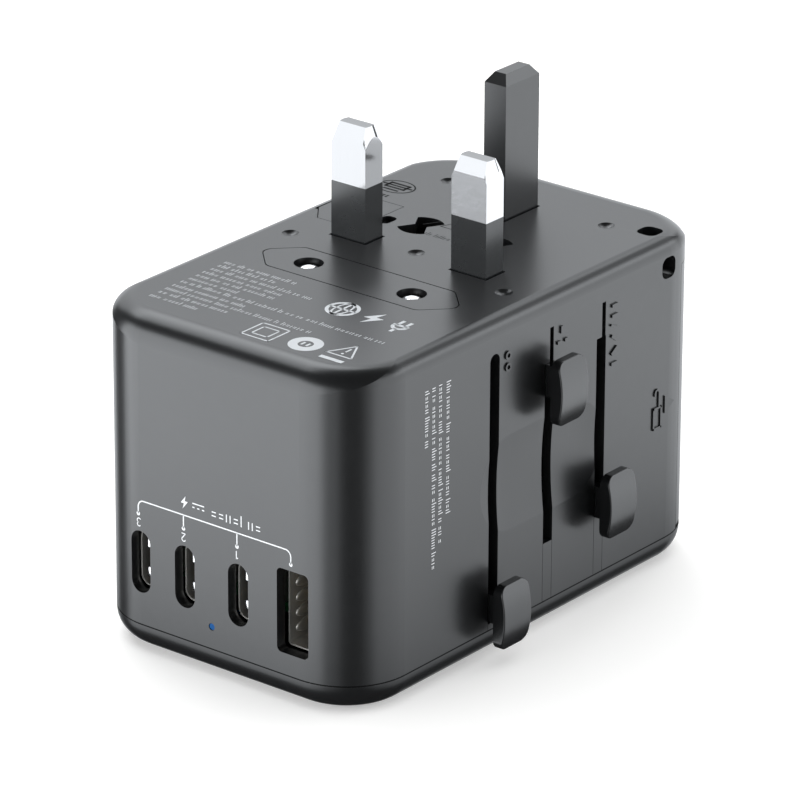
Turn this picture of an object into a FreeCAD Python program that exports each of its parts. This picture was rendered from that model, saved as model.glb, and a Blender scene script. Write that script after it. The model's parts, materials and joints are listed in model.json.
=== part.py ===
import FreeCAD, Part
import math
import os

# Universal travel adapter: a rounded box with a plug face on top (+Z), a socket face underneath
# (z = 0), plug sliders on the +X side, charger ports on the -Y end and a pull-off hatch on the +Y end.
# Millimetres. The origin is the centre of the socket face, which the adapter stands on.

# driving dimensions
body_width = 50.5
body_length = 83.0
body_height = 52.0
corner_radius = 10.5
side_edge_radius = 2.4
end_edge_radius = 4.0
bottom_edge_radius = 4.2
wall = 1.8
seam_height = 4.5
cover_floor = 2.5

half_width = body_width / 2
half_length = body_length / 2
inner_half_width = half_width - wall
inner_half_length = half_length - wall
ceiling = body_height - wall
fit_gap = 0.2
lid_gap = 0.1
running_gap = 0.05
seam_groove_height = 0.14
seam_groove_depth = 0.6

# UK plug: standard pin sections and spacing
uk_pin_width = 6.35
uk_pin_depth = 4.0
uk_pin_spacing = 22.23
uk_row_y = 3.0
uk_pin_length = 17.5
uk_sleeve_height = 8.5
uk_core_width = 5.35
uk_tip_radius = 2.6
uk_tip_slope = 0.372
uk_tip_cone_height = 4.5
uk_tip_run = 1.02
uk_tip_drop = 2.2
uk_core_depth = 3.0
uk_earth_width = 4.0
uk_earth_depth = 7.95
uk_earth_length = 22.3
uk_earth_y = uk_row_y + uk_pin_spacing
uk_travel = 23.0
uk_plate_top = 49.5
uk_plate_thickness = 3.5
uk_slot_y = 2.0
uk_knob_z = 38.43
uk_arm_left = -16.6
uk_arm_right = -13.0

# European plug: block that rises flush from the face, with two round pins through it
eu_row_y = -9.975
eu_pin_spacing = 19.0
eu_pin_diameter = 4.0
eu_pin_core = 3.0
eu_bore_diameter = 4.4
eu_block_depth = 8.85
eu_block_shoulder = 13.8
eu_block_tip = 18.2
eu_block_height = 20.5
eu_bare_length = 9.0
eu_tip_recess = 0.5
eu_slot_y = -10.8
eu_knob_z = 7.89
eu_plate_bottom = 5.6
eu_plate_thickness = 5.0

# US and Australian plug: flat blades that twist about their own axes
us_row_y = 12.0
us_half_spacing = 6.35
us_blade_width = 6.35
us_blade_thickness = 1.5
us_blade_top = 46.0
us_plate_bottom = 20.7
us_plate_thickness = 3.0
us_rotor_height = 2.95
us_rotor_radius = 3.9
us_slot_radius = 3.5
us_slot_y = 14.25
us_knob_z = 16.63
us_twist = 30.0

# sliders on the +X side
slot_width = 2.2
tongue_gap = 0.07
slot_low = 13.7
slot_high = 41.7
eu_slot_low = 5.5
eu_slot_high = 47.05
stem_width = 1.9
stem_height = 4.95
eu_stem_height = 4.4
eu_stem_lift = 0.3
narrow_width = 0.85
knob_width = 6.3
knob_height = 9.93
knob_thickness = 2.15
knob_standoff = 4.7
knob_crown = 0.9
knob_corner = 1.5
knob_rim = 0.22
arm_inner_x = 20.6
arm_outer_x = 23.1

# charger end
usb_z = 14.3
usb_c_positions = (-14.8, -6.46, 3.46)
usb_c_mouth_width = 3.7
usb_c_mouth_height = 9.65
usb_c_half_width = 1.63
usb_c_half_height = 4.47
usb_c_tongue_half_width = 0.35
usb_c_tongue_half_height = 3.34
usb_c_recess = 2.0
usb_a_x = 13.44
usb_a_mouth_width = 5.65
usb_a_mouth_height = 13.0
usb_a_half_width = 2.75
usb_a_half_height = 6.4
usb_a_tongue_x = 13.94
usb_a_tongue_thickness = 1.6
usb_a_tongue_half_height = 5.5
usb_a_contact_offsets = (-3.5, -1.0, 1.0, 3.5)
usb_a_recess = 2.5
port_shell_skin = 0.25
led_x = -1.5
led_z = 7.9
usb_board_y = -27.6
power_board_y = -17.6
board_thickness = 1.4
transformer_x = -8.2
transformer_z = 35.0
partition_y = -15.8
partition_thickness = 1.0

# +Y end hatch
hatch_start = 34.4
hatch_bottom = 5.1
hatch_top = 46.8
bulkhead_start = 32.6
bulkhead_end = 34.2
hatch_arm_x = 14.0
spare_fuse_y = 37.0
spare_fuse_z = 26.0

# fuse well under its lid on the plug face
fuse_x = -20.4
fuse_y = 10.2
fuse_diameter = 5.0
fuse_length = 20.0
fuse_bottom = 27.5
lid_left = -22.8
lid_right = -13.05
lid_front = 4.9
lid_back = 16.5
lid_thickness = 1.3

# socket face
socket_row_y = 2.0
socket_us_y = 9.5
socket_earth_y = socket_row_y + uk_pin_spacing
frame_bottom = 18.7
frame_top = 20.3
leaf_thickness = 0.8
leaf_bottom = 5.5
leaf_top = 18.0
bar_front = -3.0
bar_back = -2.2
bar_top = 48.0
us_bar_front = 5.8
us_bar_back = 6.3
shutter_bottom = 2.8
shutter_top = 4.2
shutter_half_width = 2.8

post_x = 19.6
front_post_y = -22.5
rear_post_y = 30.0
post_radius = 2.4
screw_radius = 1.1
screw_head_radius = 2.3


# small makers
def block(x0, x1, y0, y1, z0, z1):
    return Part.makeBox(x1 - x0, y1 - y0, z1 - z0, FreeCAD.Vector(x0, y0, z0))


def centred_block(cx, cy, width, depth, z0, z1):
    return block(cx - width / 2, cx + width / 2, cy - depth / 2, cy + depth / 2, z0, z1)


def pillar(cx, cy, radius, z0, z1):
    return Part.makeCylinder(radius, z1 - z0, FreeCAD.Vector(cx, cy, z0))


def rod_along_y(cx, cz, radius, y0, y1):
    return Part.makeCylinder(radius, y1 - y0, FreeCAD.Vector(cx, y0, cz), FreeCAD.Vector(0, 1, 0))


def rod_along_x(cy, cz, radius, x0, x1):
    return Part.makeCylinder(radius, x1 - x0, FreeCAD.Vector(x0, cy, cz), FreeCAD.Vector(1, 0, 0))


def edges_along(shape, direction):
    found = []
    for edge in shape.Edges:
        line = edge.Vertexes[-1].Point - edge.Vertexes[0].Point
        if line.Length > 0 and abs(abs(line.normalize().dot(direction)) - 1) < 1e-6:
            found.append(edge)
    return found


def rounded_block(x0, x1, y0, y1, z0, z1, radius, axis=(0, 0, 1)):
    shape = block(x0, x1, y0, y1, z0, z1)
    return shape.makeFillet(radius, edges_along(shape, FreeCAD.Vector(*axis)))


def prism(points, z0, z1):
    corners = [FreeCAD.Vector(x, y, z0) for x, y in points]
    face = Part.Face(Part.makePolygon(corners + corners[:1]))
    return face.extrude(FreeCAD.Vector(0, 0, z1 - z0))


def flat_edges_at(shape, height):
    found = []
    for edge in shape.Edges:
        box = edge.BoundBox
        if abs(box.ZMin - height) < 1e-6 and abs(box.ZMax - height) < 1e-6:
            found.append(edge)
    return found


def save(name, shape):
    shape = shape.removeSplitter()
    shape.exportStep("parts/" + name + ".step")
    print(name, len(shape.Solids), round(shape.Volume, 2), shape.isValid())


# outer form
def body_form():
    """The whole outer form of the adapter, solid.

    The plug face's edge is rounded more at the two ends than along the sides: a second form with the
    larger edge radius, wider by the difference of the two radii, trims the ends only.
    """
    form = rounded_block(-half_width, half_width, -half_length, half_length, 0, body_height, corner_radius)
    form = form.makeFillet(side_edge_radius, flat_edges_at(form, body_height))
    form = form.makeFillet(bottom_edge_radius, flat_edges_at(form, 0))
    extra = end_edge_radius - side_edge_radius
    trimmer = rounded_block(-half_width - extra, half_width + extra, -half_length, half_length,
                            0, body_height, corner_radius + extra)
    trimmer = trimmer.makeFillet(end_edge_radius, flat_edges_at(trimmer, body_height))
    return form.common(trimmer)


def inner_prism(z0, z1, gap=0):
    """The space inside the walls between two heights, smaller by a gap all round."""
    x = inner_half_width - gap
    y = inner_half_length - gap
    return rounded_block(-x, x, -y, y, z0, z1, corner_radius - wall - gap)


def bow_tie(cx, cy, radius, z0, z1):
    """Slot that a flat blade sweeps when it twists both ways from the Y direction."""
    half_gap = us_blade_thickness / 2 + 0.2
    apex = half_gap / math.cos(math.radians(us_twist))
    reach = 2 * radius
    slot = pillar(cx, cy, radius, z0, z1)
    for side in (-1, 1):
        far_x = side * (apex + reach * math.sin(math.radians(us_twist)))
        far_y = reach * math.cos(math.radians(us_twist))
        notch = prism([(cx + side * apex, cy), (cx + far_x, cy + far_y), (cx + far_x, cy - far_y)], z0, z1)
        slot = slot.cut(notch)
    return slot


def eu_outline(gap, z0, z1):
    """The flattened six-sided europlug outline."""
    y = eu_block_depth / 2 + gap
    shoulder = eu_block_shoulder
    tip = eu_block_tip + gap
    points = [(-shoulder, -y), (shoulder, -y), (tip, 0), (shoulder, y), (-shoulder, y), (-tip, 0)]
    shape = prism([(x, eu_row_y + dy) for x, dy in points], z0, z1)
    return shape.makeFillet(1.6, edges_along(shape, FreeCAD.Vector(0, 0, 1)))


def wall_slot(y, width, z0, z1):
    return block(inner_half_width - 1, half_width + 1, y - width / 2, y + width / 2, z0, z1)


def slider_slots():
    """Slots in the +X wall for the three slider stems, open down to the seam."""
    top_radius = slot_width / 2
    eu = wall_slot(eu_slot_y, slot_width, seam_height, eu_slot_high - top_radius)
    eu = eu.fuse(rod_along_x(eu_slot_y, eu_slot_high - top_radius, top_radius,
                             inner_half_width - 1, half_width + 1))
    uk = wall_slot(uk_slot_y, slot_width, seam_height, slot_high + running_gap)
    uk = uk.fuse(wall_slot(uk_slot_y + narrow_width / 2, narrow_width, slot_high, eu_slot_high))
    us = wall_slot(us_slot_y, slot_width, seam_height, slot_high + running_gap)
    us = us.fuse(wall_slot(us_slot_y + 0.55, narrow_width, slot_high, eu_slot_high))
    return [eu, uk, us]


def thumb_dish():
    """Long shallow dish across the middle of the +X face."""
    dish_y0 = -13.9
    dish_y1 = 14.9
    dish_z = 26.15
    dish_half_height = 7.45
    dish_depth = 0.45
    radius = (dish_half_height ** 2 + dish_depth ** 2) / (2 * dish_depth)
    centre_x = half_width + radius - dish_depth
    y0 = dish_y0 + dish_half_height
    y1 = dish_y1 - dish_half_height
    core = Part.makeCylinder(radius, y1 - y0, FreeCAD.Vector(centre_x, y0, dish_z), FreeCAD.Vector(0, 1, 0))
    near = Part.makeSphere(radius, FreeCAD.Vector(centre_x, y0, dish_z))
    far = Part.makeSphere(radius, FreeCAD.Vector(centre_x, y1, dish_z))
    keep = block(half_width - 2, half_width + 1, dish_y0 - 1, dish_y1 + 1, 10, 45)
    return core.fuse([near, far]).common(keep)


def plug_face_openings():
    """Openings through the top wall for the pins, the block and the blades."""
    z0 = ceiling - 1
    z1 = body_height + 1
    slip = 0.3
    cuts = [eu_outline(fit_gap, z0, z1)]
    for side in (-1, 1):
        cuts.append(centred_block(side * uk_pin_spacing / 2, uk_row_y,
                                  uk_pin_width + 2 * slip, uk_pin_depth + 2 * slip, z0, z1))
        cuts.append(bow_tie(side * us_half_spacing, us_row_y, us_slot_radius, z0, z1))
    cuts.append(centred_block(0, uk_earth_y, uk_earth_width + 2 * slip, uk_earth_depth + 2 * slip, z0, z1))
    return cuts


def plug_face_marks():
    """Moulding dimples and the pry notch beside the fuse lid."""
    dimple_radius = 1.94
    dimple_depth = 0.5
    dimple_places = ((-19.2, -2.4), (19.3, -1.2), (0, uk_row_y), (-14.7, 29.2), (14.7, 29.2))
    cuts = []
    for x, y in dimple_places:
        centre = FreeCAD.Vector(x, y, body_height + dimple_radius - dimple_depth)
        cuts.append(Part.makeSphere(dimple_radius, centre))
    notch_depth = 0.8
    cuts.append(rounded_block(-12.9, -10.6, 9.1, 12.2, body_height - notch_depth, body_height + 1, 0.9))
    return cuts


def lanyard_boss():
    boss = block(17.8, half_width, 27.6, bulkhead_end, 44.4, ceiling + 0.3)
    return boss.common(body_form())


def lanyard_passage():
    """Rounded square hole down from the plug face that turns out through the +X face."""
    top_size = 3.4
    side_size = 3.3
    hole_x = 21.0
    hole_y = 31.4
    side_y = 30.5
    side_z = 47.65
    radius = 1.2
    down = rounded_block(hole_x - top_size / 2, hole_x + top_size / 2, hole_y - top_size / 2,
                         hole_y + top_size / 2, side_z - side_size / 2, body_height + 1, radius)
    out = rounded_block(hole_x - 1, half_width + 1, side_y - side_size / 2, side_y + side_size / 2,
                        side_z - side_size / 2, side_z + side_size / 2, radius, (1, 0, 0))
    return [down, out]


def mouth(cx, half, tall, radius, y0, y1):
    """Upright rounded opening through the -Y wall at one port."""
    return rounded_block(cx - half, cx + half, y0, y1, usb_z - tall, usb_z + tall, radius, (0, 1, 0))


def port_openings():
    """Openings in the -Y wall: three tall USB-C mouths, one USB-A mouth and the hole of the light."""
    y0 = -half_length - 1
    y1 = -inner_half_length + 1
    led_hole_radius = 0.55
    half = usb_c_mouth_width / 2
    cuts = [mouth(x, half, usb_c_mouth_height / 2, half - 0.01, y0, y1) for x in usb_c_positions]
    cuts.append(mouth(usb_a_x, usb_a_mouth_width / 2, usb_a_mouth_height / 2, 0.8, y0, y1))
    cuts.append(rod_along_y(led_x, led_z, led_hole_radius, y0, y1))
    return cuts


def fuse_well():
    """Square tube that hangs from the plug face wall round the fuse."""
    well_half = fuse_diameter / 2 + 0.05
    well_wall = 0.65
    x1 = fuse_x + well_half + well_wall
    tube = block(-inner_half_width - 0.5, x1, fuse_y - well_half - well_wall, fuse_y + well_half + well_wall,
                 fuse_bottom - 2.5, ceiling + 0.2)
    hole = block(fuse_x - well_half, fuse_x + well_half, fuse_y - well_half, fuse_y + well_half,
                 fuse_bottom - 1.2, body_height + 1)
    return tube, hole


def lid_region(gap):
    """Outline of the fuse lid with its clipped corner, from the ledge up."""
    corner = 2.6
    x0 = lid_left + gap
    x1 = lid_right - gap
    y0 = lid_front + gap
    y1 = lid_back - gap
    pin_clearance = 0.55
    step_x = -uk_pin_spacing / 2 - uk_pin_width / 2 - pin_clearance - gap
    step_y = uk_row_y + uk_pin_depth / 2 + pin_clearance + gap
    points = [(x0 + corner, y0), (step_x, y0), (step_x, step_y), (x1, step_y), (x1, y1), (x0, y1),
              (x0, y0 + 1.3 * corner)]
    return prism(points, body_height - lid_thickness, body_height + 1)


def screw_places():
    return [(side * post_x, y) for side in (-1, 1) for y in (front_post_y, rear_post_y)]


def posts():
    """Screw posts that hang from the plug face wall down to the seam, with a rib to the side wall."""
    made = []
    rib = 1.2
    for x, y in screw_places():
        side = 1 if x > 0 else -1
        made.append(pillar(x, y, post_radius, seam_height, ceiling + 0.2))
        x_wall = side * (inner_half_width + 0.3)
        made.append(block(min(x, x_wall), max(x, x_wall), y - rib / 2, y + rib / 2,
                          seam_height + 2, ceiling + 0.2))
    return made


def main_housing():
    form = body_form()
    upper = form.common(block(-half_width - 1, half_width + 1, -half_length - 1, half_length + 1,
                              seam_height, body_height + 1))
    shell = upper.cut(inner_prism(seam_height - 1, ceiling))
    bulkhead = inner_prism(seam_height, ceiling + 0.2).common(
        block(-half_width, half_width, bulkhead_start, bulkhead_end, seam_height, body_height))
    well, well_hole = fuse_well()
    shell = shell.fuse([bulkhead, lanyard_boss(), well] + posts())
    hatch_gap = 0.1
    shell = shell.cut(block(-half_width - 1, half_width + 1, hatch_start - hatch_gap, half_length + 1,
                            seam_height - 1, hatch_top + hatch_gap))
    cuts = [well_hole, lid_region(0)]
    cuts += plug_face_openings() + plug_face_marks() + slider_slots() + port_openings() + lanyard_passage()
    cuts.append(thumb_dish())
    arm_clearance = 0.15
    for side in (-1, 1):
        cuts.append(block(side * hatch_arm_x - 1 - arm_clearance, side * hatch_arm_x + 1 + arm_clearance,
                          bulkhead_start - 1, bulkhead_end + 1, 20 - arm_clearance, 30 + arm_clearance))
    for x, y in screw_places():
        cuts.append(pillar(x, y, screw_radius, seam_height - 1, 14))
    return shell.cut(cuts)


# socket cover
def socket_apertures(z0, z1):
    """Openings for the pins of the plugs that the socket face takes."""
    made = []
    inner_x = 6.95
    outer_x = 14.5
    half_depth = 2.25
    for side in (-1, 1):
        x0 = min(side * inner_x, side * outer_x)
        made.append(rounded_block(x0, x0 + outer_x - inner_x, socket_row_y - half_depth,
                                  socket_row_y + half_depth, z0, z1, 0.6))
        made.append(bow_tie(side * us_half_spacing, socket_us_y, 4.1, z0, z1))
    made.append(rounded_block(-2.45, 2.45, 19.0, socket_earth_y + 4.25, z0, z1, 0.8))
    return made


def seam_groove():
    """Shallow groove round the outside of the seam."""
    z0 = seam_height - seam_groove_height
    ring = rounded_block(-half_width - 1, half_width + 1, -half_length - 1, half_length + 1,
                         z0, seam_height + 1, corner_radius + 1)
    x = half_width - seam_groove_depth
    y = half_length - seam_groove_depth
    return ring.cut(rounded_block(-x, x, -y, y, z0 - 1, seam_height + 2, corner_radius - seam_groove_depth))


def socket_cover():
    form = body_form().common(block(-half_width - 1, half_width + 1, -half_length - 1, half_length + 1,
                                    -1, seam_height))
    cover = form.cut(inner_prism(cover_floor, seam_height + 1))
    boss_radius = 3.0
    for x, y in screw_places():
        cover = cover.fuse(pillar(x, y, boss_radius, cover_floor - 0.1, seam_height))
    cover = cover.cut(seam_groove())
    tongues = ((eu_slot_y, eu_slot_low), (uk_slot_y, slot_low), (us_slot_y, slot_low))
    for y, top in tongues:
        half = slot_width / 2 - tongue_gap
        cover = cover.fuse(block(inner_half_width, half_width, y - half, y + half,
                                 seam_height - 1.0, top - running_gap).common(body_form()))
    cuts = socket_apertures(-1, seam_height + 1)
    dish_depth = 0.6
    cuts.append(rounded_block(-17.5, 17.5, -5.0, 31.0, -1, dish_depth, 6.0))
    head_depth = 2.0
    for x, y in screw_places():
        cuts.append(pillar(x, y, screw_head_radius + 0.2, -1, head_depth))
        cuts.append(pillar(x, y, screw_radius + 0.1, -1, seam_height + 1))
    return cover.cut(cuts)


def cover_screws():
    """Four identical self-tapping screws with crosshead recesses."""
    head_bottom = 0.4
    head_top = 2.0
    made = []
    for x, y in screw_places():
        head = pillar(x, y, screw_head_radius, head_bottom, head_top)
        head = head.makeFillet(0.5, flat_edges_at(head, head_bottom))
        screw = head.fuse(pillar(x, y, screw_radius, head_top, 12.0))
        cross = centred_block(x, y, 2.6, 0.6, head_bottom - 1, head_bottom + 0.9)
        cross = cross.fuse(centred_block(x, y, 0.6, 2.6, head_bottom - 1, head_bottom + 0.9))
        made.append(screw.cut(cross))
    return Part.makeCompound(made)


# inside: frame, partition and contacts
def mid_frame():
    """Deck between the socket contacts and the sliding plugs, on four legs."""
    deck = block(-22.8, 20.2, -2.2, 31.2, frame_bottom, frame_top).common(inner_prism(1, 50, 0.3))
    leg = 1.3
    leg_places = ((-18.5, -0.6), (18.5, -0.6), (-14.5, 30.6), (14.5, 30.6))
    for x, y in leg_places:
        deck = deck.fuse(block(x - leg, x + leg, y - leg, y + leg, cover_floor, frame_bottom + 0.1))
    cuts = [block(-3.2, 3.2, 19.6, 29.6, frame_bottom - 1, frame_top + 1)]
    clear = post_radius + 0.3
    cuts.append(block(post_x - clear, half_width, rear_post_y - clear, half_length, 0, body_height))
    cuts.append(block(-half_width, clear - post_x, rear_post_y - clear, half_length, 0, body_height))
    return deck.cut(cuts + [us_bar(side) for side in (-1, 1)])


def charger_partition():
    plate = inner_prism(cover_floor, ceiling).common(
        block(-half_width, half_width, partition_y, partition_y + partition_thickness, cover_floor, ceiling))
    lead_holes = [rod_along_y(x, 22.0, 1.1, partition_y - 1, partition_y + 2) for x in (-21.0, 21.0)]
    return plate.cut(lead_holes)


def pole_contact(side):
    """Folded brass contact for one pole: grips round or square pins, and flat blades."""
    x0 = min(side * 7.2, side * 14.8)
    x1 = max(side * 7.2, side * 14.8)
    near = socket_row_y - 2.9
    far = socket_row_y + 2.1
    contact = block(x0, x1, near, near + leaf_thickness, leaf_bottom, leaf_top)
    contact = contact.fuse(block(x0, x1, far, far + leaf_thickness, leaf_bottom, leaf_top))
    blade_leaf = 0.6
    inner = us_half_spacing - us_blade_thickness / 2 - 0.1 - blade_leaf
    outer = us_half_spacing + us_blade_thickness / 2 + 0.1
    for distance in (inner, outer):
        left = min(side * distance, side * (distance + blade_leaf))
        contact = contact.fuse(block(left, left + blade_leaf, 6.7, 12.4, leaf_bottom, leaf_top))
    inner_edge = min(side * inner, side * 14.8)
    outer_edge = max(side * inner, side * 14.8)
    contact = contact.fuse(block(inner_edge, outer_edge, near, 12.4, leaf_top, frame_bottom))
    return contact


def earth_contact():
    left = block(-3.1, -2.4, 20.2, 28.4, leaf_bottom, leaf_top)
    right = block(2.4, 3.1, 20.2, 28.4, leaf_bottom, leaf_top)
    back = block(-3.1, 3.1, 28.4, 29.2, leaf_bottom, frame_bottom)
    foot = block(3.1, 9.0, 28.4, 29.2, 14.0, frame_bottom)
    return left.fuse([right, back, foot])


def bus_bar(side):
    """Upright strip that the UK and European wipers slide along."""
    x0 = min(side * 9.0, side * 17.0)
    bar = block(x0, x0 + 8.0, bar_front, bar_back, leaf_bottom, bar_top)
    tab_x = min(side * 9.0, side * 13.0)
    tab = block(tab_x, tab_x + 4.0, bar_back, socket_row_y - 2.9, 10.0, 14.0)
    return bar.fuse(tab)


def us_bar(side):
    """Upright strip that a blade wiper slides along."""
    x0 = min(side * 5.5, side * 9.5)
    return block(x0, x0 + 4.0, us_bar_front, us_bar_back, frame_bottom, bar_top)


def fuse_body(length, diameter):
    """Cartridge fuse along Z from z = 0: ceramic tube between two caps, as tube and caps."""
    cap = 5.0
    tube = Part.makeCylinder(diameter / 2 - 0.2, length - 2 * 0.4, FreeCAD.Vector(0, 0, 0.4))
    caps = []
    for z in (0, length - cap):
        shell = Part.makeCylinder(diameter / 2, cap, FreeCAD.Vector(0, 0, z))
        caps.append(shell.makeFillet(0.3, [e for e in shell.Edges if e.Closed]).cut(tube))
    return tube, caps


def main_fuse():
    tube, caps = fuse_body(fuse_length, fuse_diameter)
    place = FreeCAD.Vector(fuse_x, fuse_y, fuse_bottom)
    tube.translate(place)
    caps = Part.makeCompound(caps)
    caps.translate(place)
    return tube, caps


def fuse_contacts():
    """Two identical brass end plates that press on the fuse."""
    half = fuse_diameter / 2
    thickness = 0.6
    made = []
    for z in (fuse_bottom - thickness, fuse_bottom + fuse_length):
        made.append(block(fuse_x - half, fuse_x + half, fuse_y - half, fuse_y + half, z, z + thickness))
    return Part.makeCompound(made)


# charger
def power_board():
    board = block(-21.0, 21.0, power_board_y, power_board_y + board_thickness, 6.0, 48.0)
    holes = [rod_along_y(x, 9.0, 1.0, power_board_y - 1, power_board_y + 3) for x in (-18.5, 18.5)]
    return board.cut(holes)


def usb_board():
    return block(-20.5, 19.5, usb_board_y, usb_board_y + board_thickness, 6.0, 24.0)


def port_shell(cx, half, tall, radius, recess):
    """Folded metal shell of a port, open at both ends, set back from the -Y face."""
    front = -half_length + recess
    skin = port_shell_skin
    outer = mouth(cx, half, tall, radius, front, usb_board_y)
    return outer.cut(mouth(cx, half - skin, tall - skin, radius - skin, front - 1, usb_board_y - 1))


def usb_c_shell(x):
    return port_shell(x, usb_c_half_width, usb_c_half_height, usb_c_half_width - 0.01, usb_c_recess)


def usb_c_tongues():
    """Three identical centre tongues, one in each USB-C shell."""
    front = -half_length + usb_c_recess + 0.6
    half = usb_c_tongue_half_width
    tall = usb_c_tongue_half_height
    made = []
    for x in usb_c_positions:
        made.append(block(x - half, x + half, front, usb_board_y - 1, usb_z - tall, usb_z + tall))
    return Part.makeCompound(made)


def usb_a_shell():
    return port_shell(usb_a_x, usb_a_half_width, usb_a_half_height, 0.6, usb_a_recess)


def usb_a_tongue():
    front = -half_length + usb_a_recess + 0.5
    tall = usb_a_tongue_half_height
    return block(usb_a_tongue_x, usb_a_tongue_x + usb_a_tongue_thickness, front, usb_board_y - 1,
                 usb_z - tall, usb_z + tall)


def usb_a_contacts():
    """Four gold strips on the inner side of the USB-A tongue."""
    strip_height = 1.0
    strip_thickness = 0.25
    front = -half_length + usb_a_recess + 1.2
    made = []
    for offset in usb_a_contact_offsets:
        z = usb_z + offset
        made.append(block(usb_a_tongue_x - strip_thickness, usb_a_tongue_x, front, usb_board_y - 2,
                          z - strip_height / 2, z + strip_height / 2))
    return Part.makeCompound(made)


def led_chip():
    return block(led_x - 0.8, led_x + 0.8, usb_board_y - 0.8, usb_board_y, led_z - 0.6, led_z + 0.6)


def light_pipe():
    return rod_along_y(led_x, led_z, 0.5, -half_length + 0.1, usb_board_y - 0.8)


def transformer_core():
    """Ferrite core: a frame with two windows round the centre leg."""
    core = block(transformer_x - 8, transformer_x + 8, -27.5, -21.5, transformer_z - 8, transformer_z + 8)
    for side in (-1, 1):
        x = transformer_x + side * 4
        core = core.cut(block(x - 2, x + 2, -30, -19, transformer_z - 6, transformer_z + 6))
    return core


def transformer_winding():
    outer = rounded_block(transformer_x - 5.8, transformer_x + 5.8, -30.0, power_board_y,
                          transformer_z - 5.6, transformer_z + 5.6, 1.5)
    return outer.cut(transformer_core())


def can_capacitor(x, z, radius, length):
    """Aluminium can on the power board, with a rolled groove near its seal."""
    can = rod_along_y(x, z, radius, power_board_y - length, power_board_y)
    groove = rod_along_y(x, z, radius + 1, power_board_y - 3.2, power_board_y - 2.4)
    groove = groove.cut(rod_along_y(x, z, radius - 0.4, power_board_y - 4, power_board_y - 2))
    return can.cut(groove)


def bridge_rectifier():
    body = block(2.0, 11.0, power_board_y - 3.2, power_board_y, 42.0, 47.5)
    return body.makeChamfer(0.6, edges_along(body, FreeCAD.Vector(0, 1, 0)))


def y_capacitor():
    disc = rod_along_x(power_board_y - 4.0, 12.0, 4.0, 0.0, 3.4)
    return disc.makeFillet(1.2, [e for e in disc.Edges if e.Closed])


def inductor():
    low = rod_along_y(10.0, 12.0, 3.6, power_board_y - 1.2, power_board_y)
    top = rod_along_y(10.0, 12.0, 3.6, power_board_y - 7.6, power_board_y - 6.4)
    return low.fuse([top, rod_along_y(10.0, 12.0, 2.9, power_board_y - 6.4, power_board_y - 1.2)])


# sliding plugs
def knob(y, pad_z, stem_z, tall):
    """Thumb knob: a convex pad on the stem that runs through its slot."""
    pad_back = half_width + knob_standoff - knob_thickness
    pad_front = half_width + knob_standoff
    pad = rounded_block(pad_back, pad_front + 1, y - knob_width / 2, y + knob_width / 2,
                        pad_z - knob_height / 2, pad_z + knob_height / 2, knob_corner, (1, 0, 0))
    crown_radius = ((knob_height / 2) ** 2 + knob_crown ** 2) / (2 * knob_crown)
    crown_centre = FreeCAD.Vector(pad_front - crown_radius, y - knob_width / 2 - 1, pad_z)
    pad = pad.common(Part.makeCylinder(crown_radius, knob_width + 2, crown_centre, FreeCAD.Vector(0, 1, 0)))
    pad = pad.makeFillet(knob_rim, [e for e in pad.Edges if e.BoundBox.XMin > pad_back + knob_rim])
    stem = block(arm_outer_x, pad_back + 0.1, y - stem_width / 2, y + stem_width / 2,
                 stem_z - tall / 2, stem_z + tall / 2)
    return pad.fuse(stem)


def wedge_along_y(points, cy, reach):
    corners = [FreeCAD.Vector(x, cy - reach, z) for x, z in points]
    return Part.Face(Part.makePolygon(corners + corners[:1])).extrude(FreeCAD.Vector(0, 2 * reach, 0))


def wedge_along_x(points, cx, reach):
    corners = [FreeCAD.Vector(cx - reach, y, z) for y, z in points]
    return Part.Face(Part.makePolygon(corners + corners[:1])).extrude(FreeCAD.Vector(2 * reach, 0, 0))


def bevel_section(centre, half, side, top, run, drop):
    """Triangle that bevels one side of a tip: inwards by run at the top, down by drop on the side."""
    edge = centre + side * half
    spare = 0.5
    lift = 0.01
    outside = edge + side * spare
    low = top - drop * (1 + spare / run)
    return [(edge - side * run, top + lift), (outside, top + lift), (outside, low)]


def bevel_tip(shape, cx, cy, width, depth, top, run, drop):
    """Bevels the four sides of a rectangular pin's tip; run and drop are given for X and for Y."""
    for side in (-1, 1):
        shape = shape.cut(wedge_along_y(bevel_section(cx, width / 2, side, top, run[0], drop[0]), cy, depth))
        shape = shape.cut(wedge_along_x(bevel_section(cy, depth / 2, side, top, run[1], drop[1]), cx, width))
    return shape


def uk_pin(side):
    """Nickel-plated brass pin: thin core inside the sleeve, full section above it.

    The tip is bevelled flat on its two broad sides and turned to a cone on the narrow ones.
    """
    x = side * uk_pin_spacing / 2
    top = body_height + uk_pin_length
    sleeve_top = body_height + uk_sleeve_height
    bare = centred_block(x, uk_row_y, uk_pin_width, uk_pin_depth, sleeve_top, top)
    for end in (-1, 1):
        section = bevel_section(uk_row_y, uk_pin_depth / 2, end, top, uk_tip_run, uk_tip_drop)
        bare = bare.cut(wedge_along_x(section, x, uk_pin_width))
    cone_bottom = top - uk_tip_cone_height
    cone_foot_radius = uk_tip_radius + uk_tip_slope * uk_tip_cone_height
    cone = Part.makeCone(cone_foot_radius, uk_tip_radius, uk_tip_cone_height,
                         FreeCAD.Vector(x, uk_row_y, cone_bottom))
    lower = centred_block(x, uk_row_y, uk_pin_width + 1, uk_pin_depth + 1, sleeve_top - 1, cone_bottom)
    bare = bare.common(cone.fuse(lower))
    core = centred_block(x, uk_row_y, uk_core_width, uk_core_depth, uk_plate_top - 2.0, sleeve_top)
    return bare.fuse(core)


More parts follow.
